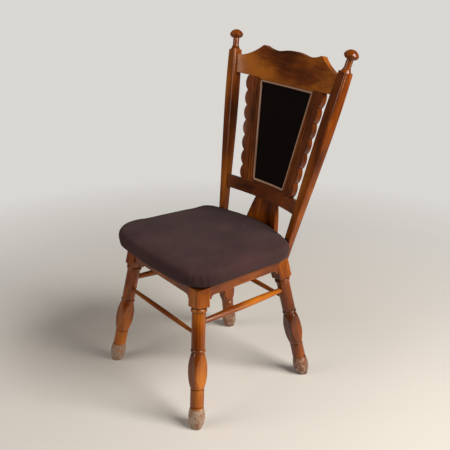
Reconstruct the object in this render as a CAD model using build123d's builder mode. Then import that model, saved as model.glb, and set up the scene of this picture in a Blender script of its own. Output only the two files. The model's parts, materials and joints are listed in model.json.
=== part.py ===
from build123d import *
from math import atan, cos, sin, sqrt

# Side chair with turned, splayed legs, an overhanging padded seat and a bowed back.
# Millimetres. X runs to the sitter's left, -Y is the front, Z is up.
# The origin is on the floor, midway between the seat's front edge and the rearmost top rail.

# Leg places: each foot's centre on the floor and the same axis at frame height
FRONT_FOOT_X = 228.0
FRONT_TOP_X = 164.0
FRONT_TOP_SETBACK = 60.0
REAR_FOOT_X = 191.0
REAR_FOOT_SETBACK = 428.0
REAR_TOP_X = 142.0
REAR_TOP_SETBACK = 355.0

# Seat frame
FRAME_TOP = 392.0
RAIL_HEIGHT = 26.0
RAIL_THICK = 22.0
RAIL_SETIN = 1.5
KNEE_RADIUS = 10.0
KNEE_START = 16.0
BACK_RAIL_THICK = 28.0
BACK_RAIL_BOW = 38.0
BRACE_THICK = 16.0
BRACE_HEIGHT = 20.0
BRACE_GAP = 3.0

# Turned leg, heights measured up its own axis from the floor
BLOCK_SIDE = 42.0
FRONT_BLOCK_DROP = 55.0
REAR_BLOCK_DROP = 61.0
FOOT_BOTTOM_R = 15.0
FOOT_BULGE_R = 23.5
FOOT_WIDEST = 34.0
FOOT_HEIGHT = 62.0
ANKLE_R = 19.5
ANKLE_TOP = 113.0
BALUSTER_R = 27.0
BALUSTER_WIDEST = 163.0
BALUSTER_TOP = 219.0
FACET_R = 20.5
COLLAR_R = 21.0
COLLAR_HEIGHT = 8.0
SHAFT_R = 19.5
RING_R = 23.0
RING_HEIGHT = 9.0
BEAD_SHOULDER = 1.5
NECK_R = 18.0
NECK_HEIGHT = 4.0
GROOVE = 2.5

# Stretchers
SIDE_STRETCHER_Z = 292.0
SIDE_STRETCHER_R = 10.5
FRONT_STRETCHER_Z = 258.0
FRONT_STRETCHER_R = 7.5
REAR_STRETCHER_Z = 258.0
REAR_STRETCHER_R = 7.5
STRETCHER_END_SHARE = 0.62

# Back: posts lean back and flare outwards, and everything between them is bowed
POST_FOOT_X = 152.0
POST_FOOT_SETBACK = 368.0
POST_TOP_X = 245.0
POST_TOP_SETBACK = 488.5
POST_TOP_Z = 938.0
BACK_BOW = 33.0

# Post sections: height share, width, depth
POST_SECTIONS = (
    (0.0, 23.0, 23.0),
    (0.40, 31.0, 28.0),
    (0.80, 37.0, 32.0),
    (1.0, 32.0, 30.0),
)
POST_EDGE_R = 5.0

# Finial on each post, heights above the post's top
FINIAL_BASE_R = 15.5
FINIAL_FLARE_H = 15.0
FINIAL_NECK_R = 9.5
FINIAL_CAP_LOW = 36.0
FINIAL_CAP_R = 20.5
FINIAL_CAP_H = 48.0
FINIAL_HEIGHT = 62.0

# Heights up the back's slope from the seat frame
LOWER_RAIL_LOW = 135.0
LOWER_RAIL_HIGH = 173.0
CREST_LOW = 492.0
CREST_NOTCH = 548.0
CREST_SCOOP = 563.0
CREST_EAR = 590.0
CREST_DIP = 580.0
CREST_SHOULDER = 582.5
CREST_HUMP = 587.5

# The same points' distances from the chair's middle
CREST_NOTCH_X = 207.0
CREST_SCOOP_X = 168.0
CREST_EAR_X = 128.0
CREST_DIP_X = 84.0
CREST_SHOULDER_X = 45.0
CREST_EAR_R = 7.0

# Thicknesses of the bowed members
CREST_THICK = 19.0
LOWER_RAIL_THICK = 18.0
STILE_THICK = 18.0
SPLAT_THICK = 16.0

# Upholstered panel in the back
PANEL_LOW = 181.5
PANEL_HIGH = 487.0
PANEL_LOW_X = 72.0
PANEL_HIGH_X = 118.5
PANEL_THICK = 18.0
PANEL_RECESS = 6.0
COVER_THICK = 3.0
PIPING_R = 2.6

# Stiles beside the panel: scalloped towards the posts and grooved along their fronts
STILE_FROM_POST = 67.5
STILE_LOBES = 7
STILE_LOBE_RISE = 9.0
STILE_GROOVE_PLACES = (9.0, 20.0)
STILE_GROOVE_WIDTH = 2.4
STILE_GROOVE_DEPTH = 2.0

# Splat foot: half widths at its top, its waist and its foot, and the waist's height
SPLAT_TOP_X = 46.0
SPLAT_WAIST_X = 61.0
SPLAT_WAIST = 90.0
SPLAT_FOOT_X = 82.0

# Seat board and pad, half widths and setbacks from the front feet
PAD_FRONT_SETBACK = -20.0
PAD_FRONT_X = 238.0
PAD_FRONT_BOW = 22.0
PAD_FRONT_CORNER_R = 98.0
PAD_REAR_SETBACK = 402.0
PAD_REAR_X = 213.0
PAD_REAR_BOW = 50.0
PAD_REAR_CORNER_R = 48.0
PAD_HEIGHT = 66.0
PAD_TOP_R = 16.0
PAD_UNDER_R = 44.0
BOARD_THICK = 10.0
BOARD_INSET = 52.0
BOARD_REAR_REACH = 26.0

# Clearances
SEAT_GAP = 0.3

# Angles and slopes worked out from the places above
post_rise = POST_TOP_Z - FRAME_TOP
rake_slope = (POST_TOP_SETBACK - POST_FOOT_SETBACK) / post_rise
rake = atan(rake_slope)
flare_slope = (POST_TOP_X - POST_FOOT_X) / post_rise * cos(rake)
post_length = post_rise / cos(rake)
rail_middle = FRAME_TOP - RAIL_HEIGHT / 2

# The seat's front edge is the foremost point, the top rail's hump the rearmost
reach_back = (
    POST_FOOT_SETBACK
    + CREST_HUMP * sin(rake)
    + (BACK_BOW + CREST_THICK / 2) * cos(rake)
)
FRONT_Y = -(reach_back + PAD_FRONT_SETBACK) / 2

# The back's sloping plane: local x is across the chair, local y runs up the slope
back_plane = Plane(
    origin=(0, FRONT_Y + POST_FOOT_SETBACK, FRAME_TOP),
    x_dir=(1, 0, 0),
    z_dir=(0, -cos(rake), sin(rake)),
)


def post_x(height):
    """Half distance between the posts' centre lines at a height up the back's slope."""
    return POST_FOOT_X + flare_slope * height


def leg_axis(side, front):
    """Point on the floor and unit direction of one leg."""
    if front:
        foot = Vector(side * FRONT_FOOT_X, FRONT_Y, 0)
        top = Vector(side * FRONT_TOP_X, FRONT_Y + FRONT_TOP_SETBACK, FRAME_TOP)
    else:
        foot = Vector(side * REAR_FOOT_X, FRONT_Y + REAR_FOOT_SETBACK, 0)
        top = Vector(side * REAR_TOP_X, FRONT_Y + REAR_TOP_SETBACK, FRAME_TOP)
    return foot, (top - foot).normalized()


def leg_planes(side, front):
    """Planes square to a leg and along it, both with their origin at its foot."""
    foot, up = leg_axis(side, front)
    across = (Vector(1, 0, 0) - up * up.X).normalized()
    square = Plane(origin=foot, x_dir=across, z_dir=up)
    along = Plane(origin=foot, x_dir=across, z_dir=across.cross(up))
    return square, along


def on_leg(side, front, z):
    """Point of a leg's axis at a height over the floor."""
    foot, up = leg_axis(side, front)
    return foot + up * (z / up.Z)


def leg_block(side, front, side_length, low, high):
    """Square prism about a leg's axis, between two heights along it."""
    square, _ = leg_planes(side, front)
    with BuildPart() as block:
        with BuildSketch(square.offset(low)):
            Rectangle(side_length, side_length)
        extrude(amount=high - low)
    return block.part


LEG_ENDS = {
    "front_left": (1, True),
    "front_right": (-1, True),
    "rear_left": (1, False),
    "rear_right": (-1, False),
}

# Turned legs with square top blocks
for end, (side, front) in LEG_ENDS.items():
    square, along = leg_planes(side, front)
    foot, up = leg_axis(side, front)
    leg_length = FRAME_TOP / up.Z
    block_low = leg_length - (FRONT_BLOCK_DROP if front else REAR_BLOCK_DROP)
    ring_low = block_low - NECK_HEIGHT - RING_HEIGHT
    collar_top = BALUSTER_TOP + COLLAR_HEIGHT
    with BuildPart() as leg:
        with BuildSketch(along):
            with BuildLine():
                Polyline(
                    (0, -FOOT_BOTTOM_R),
                    (FOOT_BOTTOM_R, -FOOT_BOTTOM_R),
                    (FOOT_BOTTOM_R, 0),
                )
                ThreePointArc(
                    (FOOT_BOTTOM_R, 0),
                    (FOOT_BULGE_R, FOOT_WIDEST),
                    (ANKLE_R, FOOT_HEIGHT - GROOVE),
                )
                Polyline(
                    (ANKLE_R, FOOT_HEIGHT - GROOVE),
                    (ANKLE_R - GROOVE, FOOT_HEIGHT),
                    (ANKLE_R, FOOT_HEIGHT + GROOVE),
                    (ANKLE_R, ANKLE_TOP - GROOVE),
                    (ANKLE_R - GROOVE, ANKLE_TOP),
                    (ANKLE_R, ANKLE_TOP + GROOVE),
                )
                ThreePointArc(
                    (ANKLE_R, ANKLE_TOP + GROOVE),
                    (BALUSTER_R, BALUSTER_WIDEST),
                    (NECK_R, BALUSTER_TOP),
                )
                Line((NECK_R, BALUSTER_TOP), (COLLAR_R - BEAD_SHOULDER, BALUSTER_TOP))
                ThreePointArc(
                    (COLLAR_R - BEAD_SHOULDER, BALUSTER_TOP),
                    (COLLAR_R, (BALUSTER_TOP + collar_top) / 2),
                    (COLLAR_R - BEAD_SHOULDER, collar_top),
                )
                Polyline(
                    (COLLAR_R - BEAD_SHOULDER, collar_top),
                    (NECK_R, collar_top),
                    (SHAFT_R, collar_top + GROOVE),
                    (SHAFT_R, ring_low - GROOVE),
                    (NECK_R, ring_low),
                    (RING_R - BEAD_SHOULDER, ring_low),
                )
                ThreePointArc(
                    (RING_R - BEAD_SHOULDER, ring_low),
                    (RING_R, ring_low + RING_HEIGHT / 2),
                    (RING_R - BEAD_SHOULDER, ring_low + RING_HEIGHT),
                )
                Polyline(
                    (RING_R - BEAD_SHOULDER, ring_low + RING_HEIGHT),
                    (NECK_R, ring_low + RING_HEIGHT),
                    (NECK_R, block_low + NECK_HEIGHT),
                    (0, block_low + NECK_HEIGHT),
                    (0, -FOOT_BOTTOM_R),
                )
            make_face()
        revolve(axis=Axis(foot, up))
        # Four flat lancets on the baluster, pointed where its curve runs out of them
        with BuildSketch(square.offset(ANKLE_TOP + GROOVE)):
            Rectangle(4 * BALUSTER_R, 4 * BALUSTER_R)
            Rectangle(2 * FACET_R, 2 * FACET_R, mode=Mode.SUBTRACT)
        extrude(amount=BALUSTER_TOP - ANKLE_TOP - GROOVE, mode=Mode.SUBTRACT)
        add(leg_block(side, front, BLOCK_SIDE, block_low, leg_length + BLOCK_SIDE))
        split(bisect_by=Plane.XY, keep=Keep.TOP)
        split(bisect_by=Plane.XY.offset(FRAME_TOP), keep=Keep.BOTTOM)
    leg.part.label = end.split("_")[0] + "_leg_" + end.split("_")[1]
    export_step(leg.part, "parts/" + leg.part.label + ".step")


def straight_rail(start_end, finish_end):
    """Rail between two leg blocks, its outer face just inside theirs, with curved knees."""
    start = on_leg(*start_end, rail_middle)
    finish = on_leg(*finish_end, rail_middle)
    run = finish - start
    middle = (start + finish) * 0.5
    outward = run.cross(Vector(0, 0, 1)).normalized()
    if outward.dot(middle) < 0:
        outward = outward * -1
    shift = BLOCK_SIDE / 2 - RAIL_SETIN - RAIL_THICK / 2
    face = Plane(
        origin=(middle.X + outward.X * shift, middle.Y + outward.Y * shift, FRAME_TOP),
        x_dir=run.normalized(),
        z_dir=run.cross(Vector(0, 0, 1)).normalized(),
    )
    half = run.length / 2
    knee_x = half - BLOCK_SIDE / 2 - KNEE_START
    knee_mid = KNEE_RADIUS * sqrt(0.5)
    with BuildPart() as rail:
        with BuildSketch(face):
            with BuildLine():
                Polyline(
                    (-knee_x, -RAIL_HEIGHT),
                    (knee_x, -RAIL_HEIGHT),
                )
                ThreePointArc(
                    (knee_x, -RAIL_HEIGHT),
                    (knee_x + knee_mid, -RAIL_HEIGHT - KNEE_RADIUS + knee_mid),
                    (knee_x + KNEE_RADIUS, -RAIL_HEIGHT - KNEE_RADIUS),
                )
                Polyline(
                    (knee_x + KNEE_RADIUS, -RAIL_HEIGHT - KNEE_RADIUS),
                    (half, -RAIL_HEIGHT - KNEE_RADIUS),
                    (half, 0),
                    (-half, 0),
                    (-half, -RAIL_HEIGHT - KNEE_RADIUS),
                    (-knee_x - KNEE_RADIUS, -RAIL_HEIGHT - KNEE_RADIUS),
                )
                ThreePointArc(
                    (-knee_x - KNEE_RADIUS, -RAIL_HEIGHT - KNEE_RADIUS),
                    (-knee_x - knee_mid, -RAIL_HEIGHT - KNEE_RADIUS + knee_mid),
                    (-knee_x, -RAIL_HEIGHT),
                )
            make_face()
        extrude(amount=RAIL_THICK / 2, both=True)
        for rail_end in (start_end, finish_end):
            add(
                leg_block(*rail_end, BLOCK_SIDE + 2 * SEAT_GAP, 0, 2 * FRAME_TOP),
                mode=Mode.SUBTRACT,
            )
        split(bisect_by=Plane.XY.offset(FRAME_TOP), keep=Keep.BOTTOM)
        keep_longest(rail)
    return rail


def keep_longest(builder):
    """Drop the offcuts beyond the leg blocks and keep the largest solid."""
    solids = builder.part.solids().sort_by(SortBy.VOLUME)
    for offcut in solids[:-1]:
        add(offcut, mode=Mode.SUBTRACT)


RAILS = {
    "side_rail_left": ("front_left", "rear_left"),
    "side_rail_right": ("front_right", "rear_right"),
    "front_rail": ("front_right", "front_left"),
}
for name, (start, finish) in RAILS.items():
    rail = straight_rail(LEG_ENDS[start], LEG_ENDS[finish])
    rail.part.label = name
    export_step(rail.part, "parts/" + name + ".step")

# Corner braces, glued across the inside corners of the seat frame under the board
BRACE_CORNERS = {
    "brace_front_left": ("front_left", "rear_left", "front_right"),
    "brace_front_right": ("front_right", "rear_right", "front_left"),
}
for name, corner_ends in BRACE_CORNERS.items():
    here, one, two = [on_leg(*LEG_ENDS[end], rail_middle) for end in corner_ends]
    one = (one - here).normalized()
    two = (two - here).normalized()
    inner = RAIL_THICK - BLOCK_SIDE / 2 + RAIL_SETIN + SEAT_GAP
    inside = here + (one + two) * (inner / abs(one.cross(two).Z))
    near_reach = BLOCK_SIDE + BRACE_GAP - inner
    far_reach = near_reach + 2 * BRACE_THICK / (one + two).length
    with BuildPart() as brace:
        with BuildSketch(Plane.XY.offset(FRAME_TOP - BRACE_HEIGHT)):
            with BuildLine():
                places = (
                    inside + one * near_reach,
                    inside + one * far_reach,
                    inside + two * far_reach,
                    inside + two * near_reach,
                )
                Polyline(*[(place.X, place.Y) for place in places], close=True)
            make_face()
        extrude(amount=BRACE_HEIGHT)
    brace.part.label = name
    export_step(brace.part, "parts/" + name + ".step")


def stretcher(start_end, finish_end, z, radius):
    """Turned stretcher, thickest at its middle, its ends seated in two legs."""
    start = on_leg(*start_end, z)
    finish = on_leg(*finish_end, z)
    run = finish - start
    half = run.length / 2
    along = Plane(
        origin=(start + finish) * 0.5,
        x_dir=run.normalized(),
        z_dir=run.cross(Vector(0, 0, 1)).normalized(),
    )
    end_radius = radius * STRETCHER_END_SHARE
    with BuildPart() as bar:
        with BuildSketch(along):
            with BuildLine():
                ThreePointArc((-half, end_radius), (0, radius), (half, end_radius))
                Polyline((half, end_radius), (half, 0), (-half, 0), (-half, end_radius))
            make_face()
        revolve(axis=Axis(start, run))
        for leg_end in (start_end, finish_end):
            foot, _ = leg_axis(*leg_end)
            square, _ = leg_planes(*leg_end)
            with BuildSketch(square):
                Circle(SHAFT_R + SEAT_GAP)
            extrude(amount=FRAME_TOP, mode=Mode.SUBTRACT)
        keep_longest(bar)
    return bar


STRETCHERS = {
    "side_stretcher_left": ("front_left", "rear_left", SIDE_STRETCHER_Z, SIDE_STRETCHER_R),
    "side_stretcher_right": ("front_right", "rear_right", SIDE_STRETCHER_Z, SIDE_STRETCHER_R),
    "front_stretcher": ("front_right", "front_left", FRONT_STRETCHER_Z, FRONT_STRETCHER_R),
    "rear_stretcher": ("rear_right", "rear_left", REAR_STRETCHER_Z, REAR_STRETCHER_R),
}
for name, (start, finish, z, radius) in STRETCHERS.items():
    bar = stretcher(LEG_ENDS[start], LEG_ENDS[finish], z, radius)
    bar.part.label = name
    export_step(bar.part, "parts/" + name + ".step")

# Back rail of the seat frame, bowed like the back that stands on it
back_block = on_leg(1, False, rail_middle)
rail_end_x = back_block.X
rail_end_y = back_block.Y
half_thick = BACK_RAIL_THICK / 2
with BuildPart() as back_rail:
    with BuildSketch(Plane.XY.offset(FRAME_TOP - RAIL_HEIGHT)):
        with BuildLine():
            ThreePointArc(
                (-rail_end_x, rail_end_y + half_thick),
                (0, rail_end_y + BACK_RAIL_BOW + half_thick),
                (rail_end_x, rail_end_y + half_thick),
            )
            Line(
                (rail_end_x, rail_end_y + half_thick),
                (rail_end_x, rail_end_y - half_thick),
            )
            ThreePointArc(
                (rail_end_x, rail_end_y - half_thick),
                (0, rail_end_y + BACK_RAIL_BOW - half_thick),
                (-rail_end_x, rail_end_y - half_thick),
            )
            Line(
                (-rail_end_x, rail_end_y - half_thick),
                (-rail_end_x, rail_end_y + half_thick),
            )
        make_face()
    extrude(amount=RAIL_HEIGHT)
    for end in ("rear_left", "rear_right"):
        add(
            leg_block(*LEG_ENDS[end], BLOCK_SIDE + 2 * SEAT_GAP, 0, 2 * FRAME_TOP),
            mode=Mode.SUBTRACT,
        )
    keep_longest(back_rail)
back_rail.part.label = "back_rail"
export_step(back_rail.part, "parts/back_rail.step")


def post_body(side, grow, foot_extra, top_extra):
    """Tapered, round-edged post on its own sloping axis, grown by a clearance."""
    foot = Vector(side * POST_FOOT_X, FRONT_Y + POST_FOOT_SETBACK, FRAME_TOP)
    top = Vector(side * POST_TOP_X, FRONT_Y + POST_TOP_SETBACK, POST_TOP_Z)
    up = (top - foot).normalized()
    length = (top - foot).length
    across = (Vector(1, 0, 0) - up * up.X).normalized()
    square = Plane(origin=foot, x_dir=across, z_dir=up)
    with BuildPart() as post:
        for share, width, depth in POST_SECTIONS:
            place = share * length
            if share == 0:
                place -= foot_extra
            if share == 1:
                place += top_extra
            with BuildSketch(square.offset(place)):
                RectangleRounded(width + 2 * grow, depth + 2 * grow, POST_EDGE_R + grow)
        loft()
    return post.part, square.offset(length)


# Posts with a turned finial on each
for name, side in {"left": 1, "right": -1}.items():
    body, top_plane = post_body(side, 0, POST_SECTIONS[0][1], 0)
    with BuildPart() as post:
        add(body)
        split(bisect_by=Plane.XY.offset(FRAME_TOP), keep=Keep.TOP)
    post.part.label = "back_post_" + name
    export_step(post.part, "parts/" + post.part.label + ".step")

    up = top_plane.z_dir
    along = Plane(
        origin=top_plane.origin,
        x_dir=top_plane.x_dir,
        z_dir=top_plane.x_dir.cross(up),
    )
    dome_rise = FINIAL_HEIGHT - FINIAL_CAP_H
    dome_r = (FINIAL_CAP_R**2 + dome_rise**2) / (2 * dome_rise)
    dome_mid_x = FINIAL_CAP_R / 2
    dome_mid_h = FINIAL_HEIGHT - dome_r + sqrt(dome_r**2 - dome_mid_x**2)
    under_x = (FINIAL_NECK_R + 3 * FINIAL_CAP_R) / 4
    under_h = (2 * FINIAL_CAP_LOW + FINIAL_CAP_H) / 3
    flare_x = (FINIAL_BASE_R + 2 * FINIAL_NECK_R) / 3
    with BuildPart() as finial:
        with BuildSketch(along):
            with BuildLine():
                Line((0, 0), (FINIAL_BASE_R, 0))
                ThreePointArc(
                    (FINIAL_BASE_R, 0),
                    (flare_x, FINIAL_FLARE_H / 2),
                    (FINIAL_NECK_R, FINIAL_FLARE_H),
                )
                Line((FINIAL_NECK_R, FINIAL_FLARE_H), (FINIAL_NECK_R, FINIAL_CAP_LOW))
                ThreePointArc(
                    (FINIAL_NECK_R, FINIAL_CAP_LOW),
                    (under_x, under_h),
                    (FINIAL_CAP_R, FINIAL_CAP_H),
                )
                ThreePointArc(
                    (FINIAL_CAP_R, FINIAL_CAP_H),
                    (dome_mid_x, dome_mid_h),
                    (0, FINIAL_HEIGHT),
                )
                Line((0, FINIAL_HEIGHT), (0, 0))
            make_face()
        revolve(axis=Axis(top_plane.origin, up))
    finial.part.label = "finial_" + name
    export_step(finial.part, "parts/" + finial.part.label + ".step")


def bowed_board(front_face, rear_face):
    """Board that follows the back's bow at every height, between two faces measured
    backwards from the bowed middle surface."""
    low = -BACK_BOW
    high = post_length + BACK_BOW
    with BuildPart() as board:
        for height in (low, high):
            half = post_x(height)
            level = Plane(
                origin=back_plane.origin + back_plane.y_dir * height,
                x_dir=(1, 0, 0),
                z_dir=back_plane.y_dir,
            )
            with BuildSketch(level):
                with BuildLine():
                    ThreePointArc(
                        (-half, front_face),
                        (0, BACK_BOW + front_face),
                        (half, front_face),
                    )
                    Line((half, front_face), (half, rear_face))
                    ThreePointArc(
                        (half, rear_face),
                        (0, BACK_BOW + rear_face),
                        (-half, rear_face),
                    )
                    Line((-half, rear_face), (-half, front_face))
                make_face()
        loft(ruled=True)
    return board.part


# The two posts, longer and grown by the seating gap, cut what butts against them
post_cutters = [post_body(side, SEAT_GAP, BACK_BOW, BACK_BOW)[0] for side in (1, -1)]


def panel_x(height):
    """Half width of the upholstered panel at a height up the slope."""
    share = (height - PANEL_LOW) / (PANEL_HIGH - PANEL_LOW)
    return PANEL_LOW_X + (PANEL_HIGH_X - PANEL_LOW_X) * share


# Top rail with a low hump, two ears and a scooped notch beside each post. Between the
# stiles it comes down to the panel, as the lower rail comes up to it.
crest_tongue = PANEL_HIGH + SEAT_GAP
hump_flank = CREST_HUMP - (CREST_HUMP - CREST_SHOULDER) / 4
with BuildPart() as crest:
    add(bowed_board(-CREST_THICK / 2, CREST_THICK / 2))
    with BuildSketch(back_plane) as crest_outline:
        with BuildLine():
            Polyline(
                (0, crest_tongue),
                (panel_x(crest_tongue), crest_tongue),
                (panel_x(CREST_LOW), CREST_LOW),
                (post_x(CREST_LOW), CREST_LOW),
                (post_x(CREST_NOTCH), CREST_NOTCH),
                (CREST_NOTCH_X, CREST_NOTCH),
            )
            ThreePointArc(
                (CREST_NOTCH_X, CREST_NOTCH),
                (CREST_SCOOP_X, CREST_SCOOP),
                (CREST_EAR_X, CREST_EAR),
            )
            ThreePointArc(
                (CREST_EAR_X, CREST_EAR),
                (CREST_DIP_X, CREST_DIP),
                (CREST_SHOULDER_X, CREST_SHOULDER),
            )
            ThreePointArc(
                (CREST_SHOULDER_X, CREST_SHOULDER),
                (CREST_SHOULDER_X / 2, hump_flank),
                (0, CREST_HUMP),
            )
            Line((0, CREST_HUMP), (0, crest_tongue))
        make_face()
        ear = crest_outline.vertices().sort_by_distance((CREST_EAR_X, CREST_EAR, 0))[0]
        fillet(ear, radius=CREST_EAR_R)
        mirror(about=Plane.YZ)
    extrude(amount=2 * BACK_BOW, both=True, mode=Mode.INTERSECT)
    for cutter in post_cutters:
        add(cutter, mode=Mode.SUBTRACT)
    keep_longest(crest)
crest.part.label = "top_rail"
export_step(crest.part, "parts/top_rail.step")

# Lower cross rail between the posts
rail_tongue = PANEL_LOW - SEAT_GAP
lower_rail_half = [
    (post_x(LOWER_RAIL_LOW), LOWER_RAIL_LOW),
    (post_x(LOWER_RAIL_HIGH), LOWER_RAIL_HIGH),
    (panel_x(LOWER_RAIL_HIGH), LOWER_RAIL_HIGH),
    (panel_x(rail_tongue), rail_tongue),
]
with BuildPart() as lower_rail:
    add(bowed_board(-LOWER_RAIL_THICK / 2, LOWER_RAIL_THICK / 2))
    with BuildSketch(back_plane):
        with BuildLine():
            Polyline(
                *lower_rail_half,
                *[(-x, height) for x, height in reversed(lower_rail_half)],
                close=True,
            )
        make_face()
    extrude(amount=2 * BACK_BOW, both=True, mode=Mode.INTERSECT)
    for cutter in post_cutters:
        add(cutter, mode=Mode.SUBTRACT)
    keep_longest(lower_rail)
lower_rail.part.label = "lower_rail"
export_step(lower_rail.part, "parts/lower_rail.step")

# Splat foot between the seat frame and the lower rail, flared towards its foot
splat_low = -BACK_BOW / 2
splat_high = LOWER_RAIL_LOW - SEAT_GAP
with BuildPart() as splat:
    add(bowed_board(-SPLAT_THICK / 2, SPLAT_THICK / 2))
    with BuildSketch(back_plane):
        with BuildLine():
            for side in (1, -1):
                ThreePointArc(
                    (side * SPLAT_FOOT_X, splat_low),
                    (side * SPLAT_WAIST_X, SPLAT_WAIST),
                    (side * SPLAT_TOP_X, splat_high),
                )
            Line((-SPLAT_FOOT_X, splat_low), (SPLAT_FOOT_X, splat_low))
            Line((-SPLAT_TOP_X, splat_high), (SPLAT_TOP_X, splat_high))
        make_face()
    extrude(amount=2 * BACK_BOW, both=True, mode=Mode.INTERSECT)
    split(bisect_by=Plane.XY.offset(FRAME_TOP), keep=Keep.TOP)
splat.part.label = "splat_foot"
export_step(splat.part, "parts/splat_foot.step")


def stile_edge(height):
    """Distance from the middle to a stile's outer edge at a cusp between two lobes."""
    return post_x(height) - STILE_FROM_POST


# Stiles beside the upholstered panel, their outer edge a row of lobes
stile_low = LOWER_RAIL_HIGH + SEAT_GAP
stile_high = CREST_LOW - SEAT_GAP
lobe_pitch = (stile_high - stile_low) / STILE_LOBES
groove_low = stile_low - lobe_pitch
groove_high = stile_high + lobe_pitch
for name, side in {"left": 1, "right": -1}.items():
    with BuildPart() as stile:
        add(bowed_board(-STILE_THICK / 2, STILE_THICK / 2))
        with BuildSketch(back_plane):
            with BuildLine():
                for lobe in range(STILE_LOBES):
                    start = stile_low + lobe * lobe_pitch
                    middle = start + lobe_pitch / 2
                    end = start + lobe_pitch
                    ThreePointArc(
                        (side * stile_edge(start), start),
                        (side * (stile_edge(middle) + STILE_LOBE_RISE), middle),
                        (side * stile_edge(end), end),
                    )
                Polyline(
                    (side * stile_edge(stile_high), stile_high),
                    (side * (panel_x(stile_high) + SEAT_GAP), stile_high),
                    (side * (panel_x(stile_low) + SEAT_GAP), stile_low),
                    (side * stile_edge(stile_low), stile_low),
                )
            make_face()
        extrude(amount=2 * BACK_BOW, both=True, mode=Mode.INTERSECT)
    with BuildPart() as grooves:
        add(bowed_board(-STILE_THICK, -STILE_THICK / 2 + STILE_GROOVE_DEPTH))
        with BuildSketch(back_plane):
            for place in STILE_GROOVE_PLACES:
                near = (panel_x(groove_low) + place, panel_x(groove_high) + place)
                far = [x + STILE_GROOVE_WIDTH for x in near]
                with BuildLine():
                    Polyline(
                        (side * near[0], groove_low),
                        (side * near[1], groove_high),
                        (side * far[1], groove_high),
                        (side * far[0], groove_low),
                        close=True,
                    )
                make_face()
        extrude(amount=2 * BACK_BOW, both=True, mode=Mode.INTERSECT)
    with BuildPart() as grooved:
        add(stile.part)
        add(grooves.part, mode=Mode.SUBTRACT)
    grooved.part.label = "stile_" + name
    export_step(grooved.part, "parts/" + grooved.part.label + ".step")

# Upholstered panel: a pad and its cord at the front, a board, and a plain cover behind
panel_corners = [
    (-panel_x(PANEL_LOW), PANEL_LOW),
    (panel_x(PANEL_LOW), PANEL_LOW),
    (panel_x(PANEL_HIGH), PANEL_HIGH),
    (-panel_x(PANEL_HIGH), PANEL_HIGH),
]
half_panel = PANEL_THICK / 2
pad_face = PANEL_RECESS - half_panel
cover_face = half_panel - COVER_THICK
PANEL_PIECES = {
    # name: front face, rear face, inset of the outline, width of a ring or 0 if solid
    "back_pad": (pad_face, 0, 2 * PIPING_R + SEAT_GAP, 0),
    "back_piping_front": (pad_face - PIPING_R, 0, 0, 2 * PIPING_R),
    "back_panel": (SEAT_GAP, cover_face, 0, 0),
    "rear_cover": (cover_face + SEAT_GAP, half_panel, 0, 0),
}
for name, (front_face, rear_face, inset, ring) in PANEL_PIECES.items():
    with BuildPart() as layer:
        add(bowed_board(front_face, rear_face))
        with BuildSketch(back_plane):
            with BuildLine():
                Polyline(*panel_corners, close=True)
            outline = make_face()
            if inset:
                offset(amount=-inset, mode=Mode.REPLACE)
            if ring:
                offset(outline, amount=-ring, mode=Mode.SUBTRACT)
        extrude(amount=2 * BACK_BOW, both=True, mode=Mode.INTERSECT)
    layer.part.label = name
    export_step(layer.part, "parts/" + name + ".step")


def seat_outline(inset, rear_reach):
    """Plan of the seat, bowed at front and back, with its rear edge moved back and the
    whole then drawn in all round."""
    front_y = FRONT_Y + PAD_FRONT_SETBACK
    rear_y = FRONT_Y + PAD_REAR_SETBACK + rear_reach
    with BuildSketch() as plan:
        with BuildLine():
            ThreePointArc(
                (-PAD_FRONT_X, front_y + PAD_FRONT_BOW),
                (0, front_y),
                (PAD_FRONT_X, front_y + PAD_FRONT_BOW),
            )
            Line((PAD_FRONT_X, front_y + PAD_FRONT_BOW), (PAD_REAR_X, rear_y - PAD_REAR_BOW))
            ThreePointArc(
                (PAD_REAR_X, rear_y - PAD_REAR_BOW),
                (0, rear_y),
                (-PAD_REAR_X, rear_y - PAD_REAR_BOW),
            )
            Line((-PAD_REAR_X, rear_y - PAD_REAR_BOW), (-PAD_FRONT_X, front_y + PAD_FRONT_BOW))
        make_face()
        fillet(plan.vertices().group_by(Axis.Y)[0], radius=PAD_FRONT_CORNER_R)
        fillet(plan.vertices().group_by(Axis.Y)[-1], radius=PAD_REAR_CORNER_R)
        if inset:
            offset(amount=-inset, mode=Mode.REPLACE)
    return plan.sketch


board_low = FRAME_TOP + SEAT_GAP
with BuildPart() as seat_board:
    with BuildSketch(Plane.XY.offset(board_low)):
        add(seat_outline(BOARD_INSET, BOARD_REAR_REACH))
    extrude(amount=BOARD_THICK)
seat_board.part.label = "seat_board"
export_step(seat_board.part, "parts/seat_board.step")

# Room kept for the splat foot, from its front face backwards
with BuildPart() as splat_room:
    add(bowed_board(-SPLAT_THICK / 2 - SEAT_GAP, BACK_BOW))
    with BuildSketch(back_plane):
        with Locations((0, (splat_low + splat_high) / 2)):
            Rectangle(2 * (SPLAT_FOOT_X + SEAT_GAP), splat_high - splat_low)
    extrude(amount=2 * BACK_BOW, both=True, mode=Mode.INTERSECT)

pad_low = board_low + BOARD_THICK + SEAT_GAP
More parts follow.
